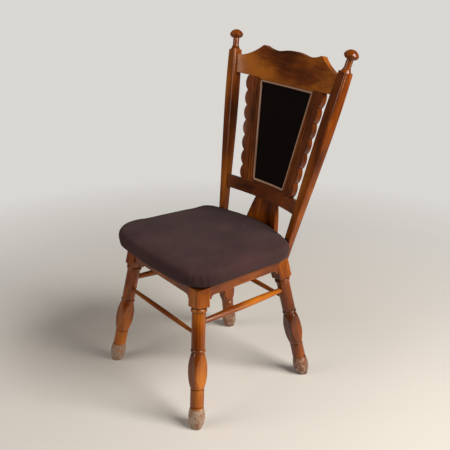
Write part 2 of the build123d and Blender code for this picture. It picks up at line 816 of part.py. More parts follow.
# Padded seat: it swells out over the board and is notched round the posts, and for
# the splat foot where the back is set more upright
with BuildPart() as seat_pad:
    with BuildSketch(Plane.XY.offset(pad_low)):
        add(seat_outline(0, 0))
    extrude(amount=PAD_HEIGHT)
    fillet(seat_pad.faces().sort_by(Axis.Z)[0].edges(), radius=PAD_UNDER_R)
    fillet(seat_pad.faces().sort_by(Axis.Z)[-1].edges(), radius=PAD_TOP_R)
    for cutter in post_cutters:
        add(cutter, mode=Mode.SUBTRACT)
    add(splat_room.part, mode=Mode.SUBTRACT)
    keep_longest(seat_pad)
seat_pad.part.label = "seat_pad"
export_step(seat_pad.part, "parts/seat_pad.step")
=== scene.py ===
import json
import math

import bmesh
import bpy
import numpy as np
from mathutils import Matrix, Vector


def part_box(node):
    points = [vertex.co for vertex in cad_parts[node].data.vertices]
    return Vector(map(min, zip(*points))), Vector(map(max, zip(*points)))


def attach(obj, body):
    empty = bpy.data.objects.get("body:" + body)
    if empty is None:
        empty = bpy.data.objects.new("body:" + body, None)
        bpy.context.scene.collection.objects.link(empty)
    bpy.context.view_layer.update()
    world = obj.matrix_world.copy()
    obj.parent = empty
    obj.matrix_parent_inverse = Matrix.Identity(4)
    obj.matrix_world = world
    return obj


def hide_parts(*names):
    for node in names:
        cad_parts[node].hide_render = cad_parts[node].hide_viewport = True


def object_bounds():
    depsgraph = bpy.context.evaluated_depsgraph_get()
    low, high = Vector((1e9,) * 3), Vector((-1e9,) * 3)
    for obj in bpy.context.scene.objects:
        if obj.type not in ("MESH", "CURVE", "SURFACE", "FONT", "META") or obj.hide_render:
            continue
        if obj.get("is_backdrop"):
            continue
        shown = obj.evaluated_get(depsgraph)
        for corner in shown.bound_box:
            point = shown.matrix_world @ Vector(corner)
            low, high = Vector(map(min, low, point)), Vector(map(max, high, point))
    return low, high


# Dining chair: turned wooden frame, padded seat and an upholstered panel in the back.
# Metres. X runs to the sitter's left, -Y is the front, Z is up, the floor is at zero.

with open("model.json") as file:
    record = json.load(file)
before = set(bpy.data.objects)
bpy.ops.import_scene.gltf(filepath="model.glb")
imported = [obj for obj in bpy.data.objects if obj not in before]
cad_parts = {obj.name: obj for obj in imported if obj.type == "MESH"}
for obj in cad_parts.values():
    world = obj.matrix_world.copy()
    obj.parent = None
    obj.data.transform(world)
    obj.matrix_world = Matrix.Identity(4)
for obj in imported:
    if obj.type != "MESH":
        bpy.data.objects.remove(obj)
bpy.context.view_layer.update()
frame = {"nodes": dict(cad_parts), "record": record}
nodes = frame["nodes"]
mounts = {m["name"]: Vector(m["pos_m"]) for m in frame["record"]["mounts"]}
front_y = mounts["foot_front_left"].y

# The camera stands where the photograph's does, measured from between the front feet,
# and is turned and zoomed until the chair fills the frame
CAMERA_PLACE = Vector((1.7291, -1.0067, 1.320))
CAMERA_AIM = Vector((0.012, 0, 0.478))
CAMERA_LENS = 62.0
CAMERA_SENSOR = 36.0

# The back, as the frame has it: it leans, flares and is bowed backwards
FRAME_TOP = 0.392
BACK_FOOT_SETBACK = 0.368
POST_FOOT_X = 0.152
POST_TOP_X = 0.245
POST_RISE = 0.546
BACK_BOW = 0.033
RAKE = math.radians(12.445)
across = Vector((1, 0, 0))
back_up = Vector((0, math.sin(RAKE), math.cos(RAKE)))
back_out = Vector((0, math.cos(RAKE), -math.sin(RAKE)))

# Room the pad leaves for a post: half a side at the seat frame, growth with height, and
# the power that squares its round corners
POST_HALF = 0.0132
POST_HALF_GROWTH = 0.04375
POST_SQUARENESS = 5

# Upholstered panel in the back: heights up its slope, half widths, and the depth of its
# faces behind the bowed middle of the back
PANEL_LOW = 0.1815
PANEL_HIGH = 0.487
PANEL_LOW_X = 0.072
PANEL_HIGH_X = 0.1185
PANEL_FACE = -0.003
PANEL_REAR = -0.0001
PANEL_COLUMNS = 48
PANEL_ROWS = 64
PANEL_DOME_POWER = 0.55
PANEL_EDGE_CROWDING = 0.72
REAR_CLOTH_INNER = 0.0064
REAR_CLOTH_OUTER = 0.0085
WELD_REACH = 0.00001

# Piping round the panel: its radius, depth, gap to the frame, corners, the distance
# between its points and its sides
PIPING_R = 0.0032
PIPING_DEPTH = -0.0060
PIPING_GAP = 0.0002
PIPING_CORNER_R = 0.005
PIPING_CORNER_STEPS = 6
PIPING_SPACING = 0.004
PIPING_SIDES = 14

# Seat pad, setbacks from the front feet and half widths
PAD_FRONT_SETBACK = -0.0173
PAD_FRONT_X = 0.2384
PAD_FRONT_BOW = 0.0203
PAD_FRONT_CORNER_R = 0.094
PAD_REAR_SETBACK = 0.4025
PAD_REAR_X = 0.2128
PAD_REAR_BOW = 0.0496
PAD_REAR_CORNER_R = 0.050

# Steps along half its outline: front, front corner, side, rear corner and rear
PAD_STEPS = (26, 22, 40, 14, 24)

# Its section: the underside's height and draw, the widest place, the shoulder and crown
PAD_LOW_Z = FRAME_TOP + 0.0106
PAD_UNDER_DRAW = 0.044
PAD_WIDEST_Z = 0.440
PAD_EDGE_Z = 0.464
PAD_EDGE_INSET = 0.013
PAD_EDGE_TURN = 85
PAD_CROWN = 0.0097
PAD_CROWN_POWER = 2.4

# Its rings: shares of the way from the middle to the edge, and steps round the edge
UNDER_SHARES = (0.25, 0.5, 0.75, 0.9)
CROWN_SHARES = (0.97, 0.93, 0.88, 0.82, 0.75, 0.66, 0.56, 0.45, 0.33, 0.20, 0.08)
UNDER_STEPS = 8
SHOULDER_STEPS = 7

# Its even mesh, and how the cover swells: rounds of smoothing, frames, pressure, the
# furthest move, and the height under which it is tacked down
PAD_VOXEL = 0.0055
PAD_SMOOTHING = 8
SWELL_FRAMES = 20
SWELL_PRESSURE = 4.0
SWELL_QUALITY = 4
SWELL_CAP = 0.004
TACKED_BELOW = 0.420
SWOLLEN_SMOOTHING = 3

# Folds at the pad's corners: the corners' centres, setbacks from the front feet, and the
# folds' depth, number to a full turn, lean, spread in radians, heights and fading there
PAD_CORNERS = ((0.140, 0.085), (-0.140, 0.085), (0.158, 0.330), (-0.158, 0.330))
PAD_MIDDLE_SETBACK = 0.200
FOLD_DEPTH = 0.0009
FOLD_COUNT = 34.0
FOLD_LEAN = 3.0
FOLD_SPREAD = 0.55
FOLD_LOW = 0.402
FOLD_HIGH = 0.462
FOLD_FADE_POWER = 1.5

# Band of cloth round the board's edge: its clearance, thickness, lap over the top and
# the distance between its points
BAND_CLEAR = 0.0002
BAND_THICK = 0.0014
BAND_LAP = 0.0010
BAND_STEP = 0.004

# Screws up through the corner braces: radius, rise, width of the slot, its turn and sides
SCREW_R = 0.0040
SCREW_RISE = 0.0007
SCREW_SLOT = 0.0012
SCREW_TURN = 0.6
SCREW_SIDES = 24


def rgb(red, green, blue):
    """Colour for a shader socket."""
    return (red, green, blue, 1.0)


# The part of its range that a noise mostly keeps to
NOISE_RANGE = (0.3, 0.7)

# Varnished wood: its colours along a scale of tone, and of its pores, of the darkening in its
# hollows and of its rubbed edges with painted highlight
WOOD_TONES = (
    (0.16, rgb(0.040, 0.0072, 0.0005)),
    (0.42, rgb(0.180, 0.0380, 0.0016)),
    (0.68, rgb(0.430, 0.130, 0.0080)),
)
PORE_COLOUR = rgb(0.020, 0.007, 0.003)
HOLLOW_COLOUR = rgb(0.014, 0.006, 0.003)
RUB_AND_HIGHLIGHT_COLOUR = rgb(0.50, 0.20, 0.045)

# How much the fibres, the late wood and the slow clouds change the tone
FIBRE_SHARE = 0.38
LATE_WOOD_SHARE = -0.10
CLOUD_SHARE = 0.50

# How its noises are drawn out: their scales along the grain and both ways across it
WAVER_GRAIN = (1.5, 9.0, 9.0)
FIBRE_GRAIN = (7.0, 260.0, 260.0)
PORE_GRAIN = (30.0, 900.0, 900.0)
CLOUD_GRAIN = (5.0, 14.0, 14.0)

# Its rings, and how far the darkening in hollows and the rounding reach
RINGS_PER_METRE = 330.0
RING_WAVER = 0.02
PITH_DEPTH = 0.055
LATE_WOOD_POWER = 2.5
HOLLOW_REACH = 0.012
EDGE_ROUNDING = 0.0013

# Where pores, darkening in hollows and rubbing with painted highlight begin and are full: by
# the fine noise, by how openly the surface lies, by how far rounding turns its normal, and by
# the noise of rubbed and highlighted patches
PORE_LIMITS = (0.60, 0.74)
HOLLOW_LIMITS = (0.85, 0.35)
RUB_AND_HIGHLIGHT_LIMITS = (0.985, 0.86)
RUB_AND_HIGHLIGHT_PATCHES = (0.35, 0.65)

# How far they cover the colour
PORE_COVER = 0.45
HOLLOW_COVER = 0.75
RUB_AND_HIGHLIGHT_COVER = (0.1, 0.65)

# Roughness of the varnish, and what the hollows and bare wood add to it
VARNISH_ROUGHNESS = (0.24, 0.36)
HOLLOW_ROUGHNESS = 0.25
BARE_ROUGHNESS = 0.35

# Wood worn bare at the feet: the band of height in which it ends, and its colours
WEAR_TOP = 0.067
WEAR_LOW = 0.061
WEAR_WANDER = 0.010
BARE_DARK = rgb(0.17, 0.105, 0.067)
BARE_LIGHT = rgb(0.38, 0.27, 0.19)
SCUFF_COLOUR = rgb(0.42, 0.35, 0.28)

# Where its patches and scuffs begin and are full by their noise, how much sooner on a foot
# with full wear, and how far they cover the colour
BARE_LIMITS = (0.62, 0.80)
BARE_SOONER = 0.30
BARE_COVER = (0.25, 1.0)
SCUFF_LIMITS = (0.45, 0.70)
SCUFF_COVER = (0.0, 0.5)

# Groups of wooden pieces that are worn at the foot, the rear feet less, which partly paints
# their shade, or lighter or darker than the rest
FOOT_WEAR_AND_SHADE = {"front_leg": 1.0, "rear_leg": 0.45}
# Lighter or darker by painted light and shade, partly each group's own tone
WOOD_TONE_AND_PAINTED_LIGHT = {
    "front_leg": 0.06,
    "rear_leg": -0.09,
    "top_rail": 0.05,
    "back_post": 0.02,
    "lower_rail": -0.07,
    "splat_foot": -0.10,
    "stile": -0.03,
}

# Plywood: its colours along a scale of tone, how its grain is drawn out, and how much the
# grain and stains change the tone
PLYWOOD_TONES = (
    (0.35, rgb(0.23, 0.130, 0.062)),
    (0.70, rgb(0.46, 0.300, 0.160)),
)
PLYWOOD_GRAIN = (6.0, 80.0, 80.0)
PLYWOOD_GRAIN_SHARE = 0.7
PLYWOOD_STAIN_SHARE = 0.4
PLYWOOD_ROUGHNESS = (0.55, 0.75)

# Fabrics: dark and light colour, threads to a metre and sheen
SEAT_CLOTH = (rgb(0.017, 0.0078, 0.0088), rgb(0.083, 0.0440, 0.0470), 620.0, 0.04)
BACK_CLOTH = (rgb(0.0027, 0.0015, 0.0013), rgb(0.0100, 0.0050, 0.0044), 760.0, 0.01)
PIPING_CLOTH = (rgb(0.36, 0.195, 0.125), rgb(0.70, 0.44, 0.31), 900.0, 0.15)

# Their yarns along X and along Y, the height at which the weave is lightest, and how much
# weave, yarn and fading change the tone
WEFT_YARN = (90.0, 900.0, 900.0)
WARP_YARN = (900.0, 90.0, 900.0)
WEAVE_HEIGHT = 1.6
WEAVE_SHARE = 0.35
YARN_SHARE = 0.55
FADE_SHARES = (-0.18, 0.22)
CLOTH_ROUGHNESS = (0.78, 0.92)

# Lint: cells to a metre, the random value from which a cell has any, and how far from
# the cell's middle it thins out
LINT_COLOUR = rgb(0.42, 0.34, 0.31)
LINT_CELLS = 24.0
LINT_CHANCE = (0.78, 0.80)
LINT_SIZE = (0.050, 0.030)
LINT_COVER = 0.55

STEEL_COLOUR = rgb(0.42, 0.40, 0.37)
RUST_COLOUR = rgb(0.16, 0.08, 0.04)
RUST_LIMITS = (0.45, 0.65)
STEEL_ROUGHNESS = (0.38, 0.65)

# Stage: a pale floor that fades out into the background, and faint light from all round
FLOOR_REACH = 6.0
FLOOR_SIDES = 64
FLOOR_FADE = (0.6, 1.9)
FLOOR_DARK = rgb(0.63, 0.615, 0.59)
FLOOR_LIGHT = rgb(0.67, 0.655, 0.63)
SKY_COLOUR = rgb(1.0, 0.97, 0.93)
SKY_LIGHT = 0.10
SEEN_BACKGROUND = rgb(0.70, 0.68, 0.65)

# Lamps: place, target, size, watts and colour
LAMPS = {
    "window": ((2.30, 0.90, 2.35), (0, 0, 0.5), (1.7, 1.7), 135, (1.0, 0.95, 0.88)),
    "low_glow": ((2.30, 1.20, 0.45), (0, 0, 0.30), (1.0, 0.8), 24, (1.0, 0.74, 0.52)),
    "room": ((-0.6, -2.8, 2.0), (0, 0.1, 0.7), (2.0, 2.0), 44, (1.0, 0.90, 0.80)),
}


# Shader nodes
class Shader:
    """A material being made. Its methods add nodes, fed by sockets or plain values."""

    def __init__(self, name):
        self.material = bpy.data.materials.new(name)
        self.material.use_nodes = True
        self.tree = self.material.node_tree
        self.surface = self.tree.nodes["Principled BSDF"]
        self.coords = self.node("TexCoord").outputs["Object"]

    def feed(self, socket, value):
        """Links another socket to this one, or sets its value."""
        if isinstance(value, bpy.types.NodeSocket):
            self.tree.links.new(value, socket)
        else:
            socket.default_value = value

    def node(self, kind, settings=None, **inputs):
        made = self.tree.nodes.new("ShaderNode" + kind)
        for key, value in (settings or {}).items():
            setattr(made, key, value)
        for key, value in inputs.items():
            self.feed(made.inputs[key.replace("_", " ")], value)
        return made

    def set(self, **values):
        """Feeds the surface's own sockets."""
        for key, value in values.items():
            self.feed(self.surface.inputs[key.replace("_", " ")], value)

    def math(self, operation, a, b=0.0, clamp=False):
        made = self.node("Math", {"operation": operation, "use_clamp": clamp})
        self.feed(made.inputs[0], a)
        self.feed(made.inputs[1], b)
        return made.outputs[0]

    def plus(self, a, b, clamp=False):
        return self.math("ADD", a, b, clamp)

    def times(self, a, b):
        return self.math("MULTIPLY", a, b)

    def mix(self, share, a, b):
        """Colour mixed from two by a share."""
        made = self.node("Mix", {"data_type": "RGBA"})
        for place, value in ((0, share), (6, a), (7, b)):
            self.feed(made.inputs[place], value)
        return made.outputs[2]

    def spread(self, value, low, high, new_low=0.0, new_high=1.0):
        """A range of values moved onto a new range and held inside it."""
        limits = {"From_Min": low, "From_Max": high, "To_Min": new_low, "To_Max": new_high}
        return self.node("MapRange", {"clamp": True}, Value=value, **limits).outputs["Result"]

    def follow(self, noise, low, high):
        """A value that goes from low to high as a noise does."""
        return self.spread(noise, *NOISE_RANGE, low, high)

    def ramp(self, tone, stops):
        """Colour along a scale of tone, from its stops' places and colours."""
        made = self.node("ValToRGB", Fac=tone)
        ends = made.color_ramp.elements
        ends[0].position, ends[0].color = stops[0]
        ends[1].position, ends[1].color = stops[-1]
        for position, colour in stops[1:-1]:
            ends.new(position).color = colour
        return made.outputs["Color"]

    def scaled(self, vector, *scale):
        """Coordinates scaled along each axis."""
        return self.node("Mapping", Vector=vector, Scale=scale).outputs[0]

    def split(self, vector):
        return self.node("SeparateXYZ", Vector=vector).outputs

    def noise(self, vector, scale=1.0, detail=3.0, roughness=0.5):
        shape = {"Scale": scale, "Detail": detail, "Roughness": roughness}
        return self.node("TexNoise", Vector=vector, **shape).outputs["Fac"]

    def bump(self, height, distance, strength=1.0, **base):
        made = self.node("Bump", Height=height, Distance=distance, Strength=strength, **base)
        self.set(Normal=made.outputs[0])


def grain_axis(node):
    """Longest direction of a CAD node, which its grain follows."""
    places = np.array([v.co for v in node.data.vertices])
    spread = np.cov((places - places.mean(axis=0)).T)
    return Vector(np.linalg.eigh(spread)[1][:, -1])


def late_wood(shader, place):
    """Dark rings about a pith that runs with the grain, wavering slowly along it."""
    waver = shader.noise(shader.scaled(place, *WAVER_GRAIN), scale=1.6, detail=2.0)
    parts = shader.split(place)
    sideways = shader.plus(parts["Y"], shader.times(waver, RING_WAVER))
    through = shader.plus(parts["Z"], PITH_DEPTH)
    squares = shader.plus(shader.times(sideways, sideways), shader.times(through, through))
    radius = shader.math("SQRT", squares)
    rings = shader.math("FRACT", shader.times(radius, RINGS_PER_METRE))
    return shader.math("POWER", rings, LATE_WOOD_POWER)


def rub_and_highlight_share(shader, rounded):
    """Share of varnish rubbed through, with a painted highlight, in patches where rounding
    turns the normal.
    """
    turned = shader.node("VectorMath", {"operation": "DOT_PRODUCT"})
    shader.feed(turned.inputs[0], rounded)
    shader.feed(turned.inputs[1], shader.node("NewGeometry").outputs["Normal"])
    edge = shader.spread(turned.outputs["Value"], *RUB_AND_HIGHLIGHT_LIMITS)
    patches = shader.noise(shader.coords, scale=30.0, detail=4.0)
    return shader.times(edge, shader.spread(patches, *RUB_AND_HIGHLIGHT_PATCHES, *RUB_AND_HIGHLIGHT_COVER))


def bare_share(shader, patch, foot_wear_and_shade):
    """Share of the wood worn bare, in patches below a wandering height."""
    height = shader.plus(shader.split(shader.coords)["Z"], shader.times(patch, WEAR_WANDER))
    low_down = shader.spread(height, WEAR_TOP, WEAR_LOW)
    limits = [limit - BARE_SOONER * foot_wear_and_shade for limit in BARE_LIMITS]
    return shader.times(low_down, shader.spread(patch, *limits, *BARE_COVER))


def wood_material(name, axis, place, foot_wear_and_shade=0.0, tone_and_painted_light=0.0):
    """Dark varnished wood with rings, fibres and pores along one axis, worn bare at a foot by
    an amount that partly paints shadow, and lighter or darker by painted light and shadow
    that is partly its own tone."""
    shader = Shader(name)
    turn = axis.to_track_quat("X", "Z").inverted().to_euler()
    aligned = shader.node("Mapping", Vector=shader.coords, Rotation=turn).outputs[0]
    shifted = shader.node("Mapping", Vector=aligned, Location=place).outputs[0]

    # Rings, fibres and pores, drawn out along the grain, and slow clouds
    late = late_wood(shader, shifted)
    fibre = shader.noise(shader.scaled(shifted, *FIBRE_GRAIN), detail=4.0, roughness=0.6)
    fine = shader.noise(shader.scaled(shifted, *PORE_GRAIN), detail=1.0)
    pores = shader.spread(fine, *PORE_LIMITS)
    cloud = shader.noise(shader.scaled(shifted, *CLOUD_GRAIN))
    tone = shader.plus(shader.times(fibre, FIBRE_SHARE), shader.times(late, LATE_WOOD_SHARE))
    # Slow clouds raised or lowered by painted light and shade, partly the piece's own tone
    tone = shader.plus(tone, shader.follow(cloud, tone_and_painted_light, tone_and_painted_light + CLOUD_SHARE))
    colour = shader.ramp(tone, WOOD_TONES)
    colour = shader.mix(shader.times(pores, PORE_COVER), colour, PORE_COLOUR)

    # Darker and rougher in the grooves and corners, the less openly the surface lies
    open_share = shader.node("AmbientOcclusion", {"samples": 6}, Distance=HOLLOW_REACH)
    hollow_darkening = shader.spread(open_share.outputs["AO"], *HOLLOW_LIMITS)
    colour = shader.mix(shader.times(hollow_darkening, HOLLOW_COVER), colour, HOLLOW_COLOUR)
    rough = shader.follow(cloud, *VARNISH_ROUGHNESS)
    rough = shader.plus(rough, shader.times(hollow_darkening, HOLLOW_ROUGHNESS))

    # Varnish rubbed through, with a painted highlight, and rounded off along the edges
    rounded = shader.node("Bevel", {"samples": 4}, Radius=EDGE_ROUNDING).outputs["Normal"]
    colour = shader.mix(rub_and_highlight_share(shader, rounded), colour, RUB_AND_HIGHLIGHT_COLOUR)

    # Feet worn bare, the rear feet less so, which partly paints their shade
    if foot_wear_and_shade:
        patch = shader.noise(shader.coords, scale=85.0, detail=5.0, roughness=0.65)
        bare = bare_share(shader, patch, foot_wear_and_shade)
        bleached = shader.mix(fibre, BARE_DARK, BARE_LIGHT)
        scuffs = shader.spread(patch, *SCUFF_LIMITS, *SCUFF_COVER)
        colour = shader.mix(bare, colour, shader.mix(scuffs, bleached, SCUFF_COLOUR))
        rough = shader.plus(rough, shader.times(bare, BARE_ROUGHNESS))

    shader.set(Base_Color=colour, Roughness=rough)
    shader.set(Coat_Weight=0.65, Coat_Roughness=0.11, Specular_IOR_Level=0.05)
    grain = shader.math("SUBTRACT", shader.times(fibre, 0.5), pores)
    shader.bump(grain, distance=0.0002, strength=0.25, Normal=rounded)
    return shader.material


def weave_height(shader, threads):
    """Woven threads along X, Y and Z, each left out where the surface faces along it."""
    place = shader.split(shader.coords)
    normal = shader.split(shader.node("NewGeometry").outputs["Normal"])
    total = None
    for axis in "XYZ":
        wave = shader.math("SINE", shader.times(place[axis], threads * math.tau))
        facing = shader.math("ABSOLUTE", normal[axis])
        share = shader.times(wave, shader.math("SUBTRACT", 1.0, facing))
        total = share if total is None else shader.plus(total, share)
    return total


def fabric_material(name, dark, light, threads, sheen):
    """Woven upholstery with uneven threads, a faded cast and some lint."""
    shader = Shader(name)
    weave = weave_height(shader, threads)
    weft = shader.noise(shader.scaled(shader.coords, *WEFT_YARN), detail=2.0)
    warp = shader.noise(shader.scaled(shader.coords, *WARP_YARN), detail=2.0)
    yarn = shader.plus(shader.times(weft, 0.5), shader.times(warp, 0.5))
    fade = shader.noise(shader.coords, scale=9.0, detail=4.0, roughness=0.55)
    tone = shader.spread(weave, -WEAVE_HEIGHT, WEAVE_HEIGHT, 0.0, WEAVE_SHARE)
    tone = shader.plus(tone, shader.times(yarn, YARN_SHARE))
    tone = shader.plus(tone, shader.follow(fade, *FADE_SHARES), clamp=True)
    colour = shader.mix(tone, dark, light)

    # Lint in a few cells of an uneven grid
    cells = shader.node("TexVoronoi", Vector=shader.coords, Scale=LINT_CELLS).outputs
    few = shader.spread(shader.split(cells["Color"])["X"], *LINT_CHANCE)
    lint = shader.times(shader.spread(cells["Distance"], *LINT_SIZE), few)
    colour = shader.mix(shader.times(lint, LINT_COVER), colour, LINT_COLOUR)
    shader.set(Base_Color=colour, Roughness=shader.follow(fade, *CLOTH_ROUGHNESS))
    shader.set(Sheen_Weight=sheen, Sheen_Roughness=0.45, Specular_IOR_Level=0.08)
    shader.bump(shader.plus(weave, yarn), distance=0.00025, strength=0.6)
    return shader.material


def plywood_material(name):
    """Plain plywood, pale and a little stained, with open grain."""
    shader = Shader(name)
    drawn_out = shader.scaled(shader.coords, *PLYWOOD_GRAIN)
    grain = shader.noise(drawn_out, scale=1.5, detail=4.0, roughness=0.6)
    stain = shader.noise(shader.coords, scale=7.0)
    tone = shader.times(grain, PLYWOOD_GRAIN_SHARE)
    tone = shader.plus(tone, shader.times(stain, PLYWOOD_STAIN_SHARE))
    shader.set(Base_Color=shader.ramp(tone, PLYWOOD_TONES))
    shader.set(Roughness=shader.follow(grain, *PLYWOOD_ROUGHNESS))
    shader.bump(grain, distance=0.0002, strength=0.5)
    return shader.material


def steel_material():
    """Dull old steel with brown specks."""
    shader = Shader("dull_steel")
    specks = shader.spread(shader.noise(shader.coords, scale=900.0, detail=4.0), *RUST_LIMITS)
    shader.set(Base_Color=shader.mix(specks, STEEL_COLOUR, RUST_COLOUR))
    shader.set(Metallic=0.85, Roughness=shader.spread(specks, 0.0, 1.0, *STEEL_ROUGHNESS))
    shader.bump(specks, distance=0.0001, strength=0.5)
    return shader.material


# CAD pieces keep their meshes and get wood along their own length
GRAIN = {"top_rail": across, "lower_rail": across, "back_rail": across, "splat_foot": back_up}
GRAIN_SHIFT = Vector((0.37, 0.011, 0.007))
PLYWOOD = ("seat_board", "back_panel")
SOFT = ("seat_pad", "back_pad", "back_piping_front", "rear_cover")
plywood = plywood_material("plywood")
for order, (name, node) in enumerate(sorted(nodes.items())):
    if name in SOFT:
        continue
    node.data.materials.clear()
    if name in PLYWOOD:
        node.data.materials.append(plywood)
        continue
    axis = GRAIN.get(name) or grain_axis(node)
    # Each piece's foot wear, partly painted shade, and its painted light and shade, by group
    foot_wear_and_shade, tone_and_painted_light = (
        next((value for part, value in table.items() if name.startswith(part)), 0.0)
        for table in (FOOT_WEAR_AND_SHADE, WOOD_TONE_AND_PAINTED_LIGHT)
    )
    wood = wood_material("wood_" + name, axis, GRAIN_SHIFT * order, foot_wear_and_shade, tone_and_painted_light)
    node.data.materials.append(wood)


def new_piece(name, points, faces, material, smooth=True):
    """Mesh object of the chair or its stage."""
    mesh = bpy.data.meshes.new(name)
    mesh.from_pydata([tuple(p) for p in points], [], faces)
    mesh.update()
    mesh.materials.append(material)
    piece = bpy.data.objects.new(name, mesh)
    bpy.context.scene.collection.objects.link(piece)
    if smooth:
        mesh.shade_smooth()
    return piece


def ring_faces(rings, count, closed):
    """Quads between neighbouring rings of so many points, the last joined to the first
    where the shape closes on itself."""
    faces = []
    for ring in range(rings if closed else rings - 1):
        here, above = ring * count, (ring + 1) % rings * count
        for i in range(count):
            after = (i + 1) % count
            faces.append((here + i, here + after, above + after, above + i))
    return faces


# Seat pad
def on_circle(centre, radius, angle):
    return centre + radius * Vector((math.cos(angle), math.sin(angle)))


def circle_arc(centre, radius, start, end, count):
    """Points of an arc, its end left out."""
    return [on_circle(centre, radius, start + (end - start) * i / count) for i in range(count)]


def bow_circle(edge_y, half_width, bow, side):
    """Centre and radius of the arc that bows by so much over a half width."""
    radius = (half_width**2 + bow**2) / (2 * bow)
    return Vector((0, edge_y - side * radius)), radius


def corner(centre, radius, line_point, line_way, fillet):
    """The two centres of a fillet inside both a big arc and a straight side."""
    inward = Vector((-abs(line_way.y), line_way.x * (1 if line_way.y > 0 else -1)))
    start = line_point + inward.normalized() * fillet - centre
    reach = radius - fillet
    along = start.dot(line_way)
    root = math.sqrt(along**2 - start.length_squared + reach**2)
    return [centre + start + line_way * step for step in (-along - root, -along + root)]


def pad_outline():
    """Plan of the pad as a closed loop of points, counter-clockwise from the front middle."""
    front = front_y + PAD_FRONT_SETBACK
    rear = front_y + PAD_REAR_SETBACK
    front_corner = Vector((PAD_FRONT_X, front + PAD_FRONT_BOW))
    rear_corner = Vector((PAD_REAR_X, rear - PAD_REAR_BOW))
    way = (rear_corner - front_corner).normalized()
    front_centre, front_radius = bow_circle(front, PAD_FRONT_X, PAD_FRONT_BOW, -1)
    rear_centre, rear_radius = bow_circle(rear, PAD_REAR_X, PAD_REAR_BOW, 1)
    fronts = corner(front_centre, front_radius, front_corner, way, PAD_FRONT_CORNER_R)
    rears = corner(rear_centre, rear_radius, front_corner, way, PAD_REAR_CORNER_R)
    low = min(fronts, key=lambda p: p.y)
    high = max(rears, key=lambda p: p.y)
    side_angle = math.atan2(-way.x, way.y)
    front_angle = math.atan2(*(low - front_centre).yx)
    rear_angle = math.atan2(*(high - rear_centre).yx)
    start = on_circle(low, PAD_FRONT_CORNER_R, side_angle)
    end = on_circle(high, PAD_REAR_CORNER_R, side_angle)
    front_steps, front_turn, side_steps, rear_turn, rear_steps = PAD_STEPS
    half = circle_arc(front_centre, front_radius, -math.pi / 2, front_angle, front_steps)
    half += circle_arc(low, PAD_FRONT_CORNER_R, front_angle, side_angle, front_turn)
    half += [start.lerp(end, i / side_steps) for i in range(side_steps)]
    half += circle_arc(high, PAD_REAR_CORNER_R, side_angle, rear_angle, rear_turn)
    half += circle_arc(rear_centre, rear_radius, rear_angle, math.pi / 2, rear_steps)
    half.append(Vector((0, rear)))
    return half + [Vector((-p.x, p.y)) for p in reversed(half[1:-1])]


def inset_loop(loop, amount):
    """Closed loop moved inwards along its own normals."""
    moved = []
    for i, p in enumerate(loop):
        way = (loop[(i + 1) % len(loop)] - loop[i - 1]).normalized()
        moved.append(p + Vector((-way.y, way.x)) * amount)
    return moved


def dense_loop(loop, step):
    """Closed loop with points added, so that its corners stay in place when smoothed."""
    points = []
    for i, p in enumerate(loop):
        after = loop[(i + 1) % len(loop)]
        parts = math.ceil((after - p).length / step)
        points += [p.lerp(after, part / parts) for part in range(parts)]
    return points


def pad_mesh():
    """Rings from the middle of the underside, out and over the edge, to the crown."""
    outline = pad_outline()
    middle = sum(outline, Vector((0, 0))) / len(outline)
    under = inset_loop(outline, PAD_UNDER_DRAW)
    top = inset_loop(outline, PAD_EDGE_INSET)
    rings = [([middle.lerp(p, share) for p in under], PAD_LOW_Z) for share in UNDER_SHARES]
    for step in range(UNDER_STEPS + 1):
        angle = math.radians(90 * step / UNDER_STEPS)
        z = PAD_WIDEST_Z - (PAD_WIDEST_Z - PAD_LOW_Z) * math.cos(angle)
        rings.append((inset_loop(outline, PAD_UNDER_DRAW * (1 - math.sin(angle))), z))
    last = math.radians(PAD_EDGE_TURN)
    for step in range(1, SHOULDER_STEPS + 1):
        angle = last * step / SHOULDER_STEPS
        inset = PAD_EDGE_INSET * (1 - math.cos(angle)) / (1 - math.cos(last))
        z = PAD_WIDEST_Z + (PAD_EDGE_Z - PAD_WIDEST_Z) * math.sin(angle) / math.sin(last)
        rings.append((inset_loop(outline, inset), z))
    for share in CROWN_SHARES:
        z = PAD_EDGE_Z + PAD_CROWN * (1 - share**PAD_CROWN_POWER)
        rings.append(([middle.lerp(p, share) for p in top], z))

    count = len(outline)
    points = [(*p, z) for loop, z in rings for p in loop]
    faces = ring_faces(len(rings), count, closed=False)
    points += [(*middle, PAD_LOW_Z), (*middle, PAD_EDGE_Z + PAD_CROWN)]
    low, high = len(points) - 2, len(points) - 1
    inner = (len(rings) - 1) * count
    faces += [(low, (i + 1) % count, i) for i in range(count)]
    faces += [(high, inner + i, inner + (i + 1) % count) for i in range(count)]
    return points, faces


def board_edge_band():
    """Closed band of the seat's cloth, drawn round the edge of the board under it."""
    low_z, high_z = (place.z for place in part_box("seat_board"))
    rim = {(round(v.co.x, 5), round(v.co.y, 5)) for v in nodes["seat_board"].data.vertices}
    corners = [Vector(p) for p in sorted(rim, key=lambda p: math.atan2(p[1], p[0]))]
    loop = dense_loop(corners, BAND_STEP)
    top_z = high_z + BAND_LAP
    profile = (
        (BAND_CLEAR, low_z),
        (BAND_THICK, low_z + BAND_THICK / 4),
        (BAND_THICK, low_z + BAND_THICK),
        (BAND_THICK, top_z - 2 * BAND_THICK),
        (BAND_THICK, top_z - BAND_THICK / 2),
        (BAND_CLEAR, top_z),
        (BAND_CLEAR, top_z - 2 * BAND_THICK),
        (BAND_CLEAR, low_z + BAND_THICK),
    )
    points = [(*p, z) for out, z in profile for p in inset_loop(loop, -out)]
    return points, ring_faces(len(profile), len(loop), closed=True)


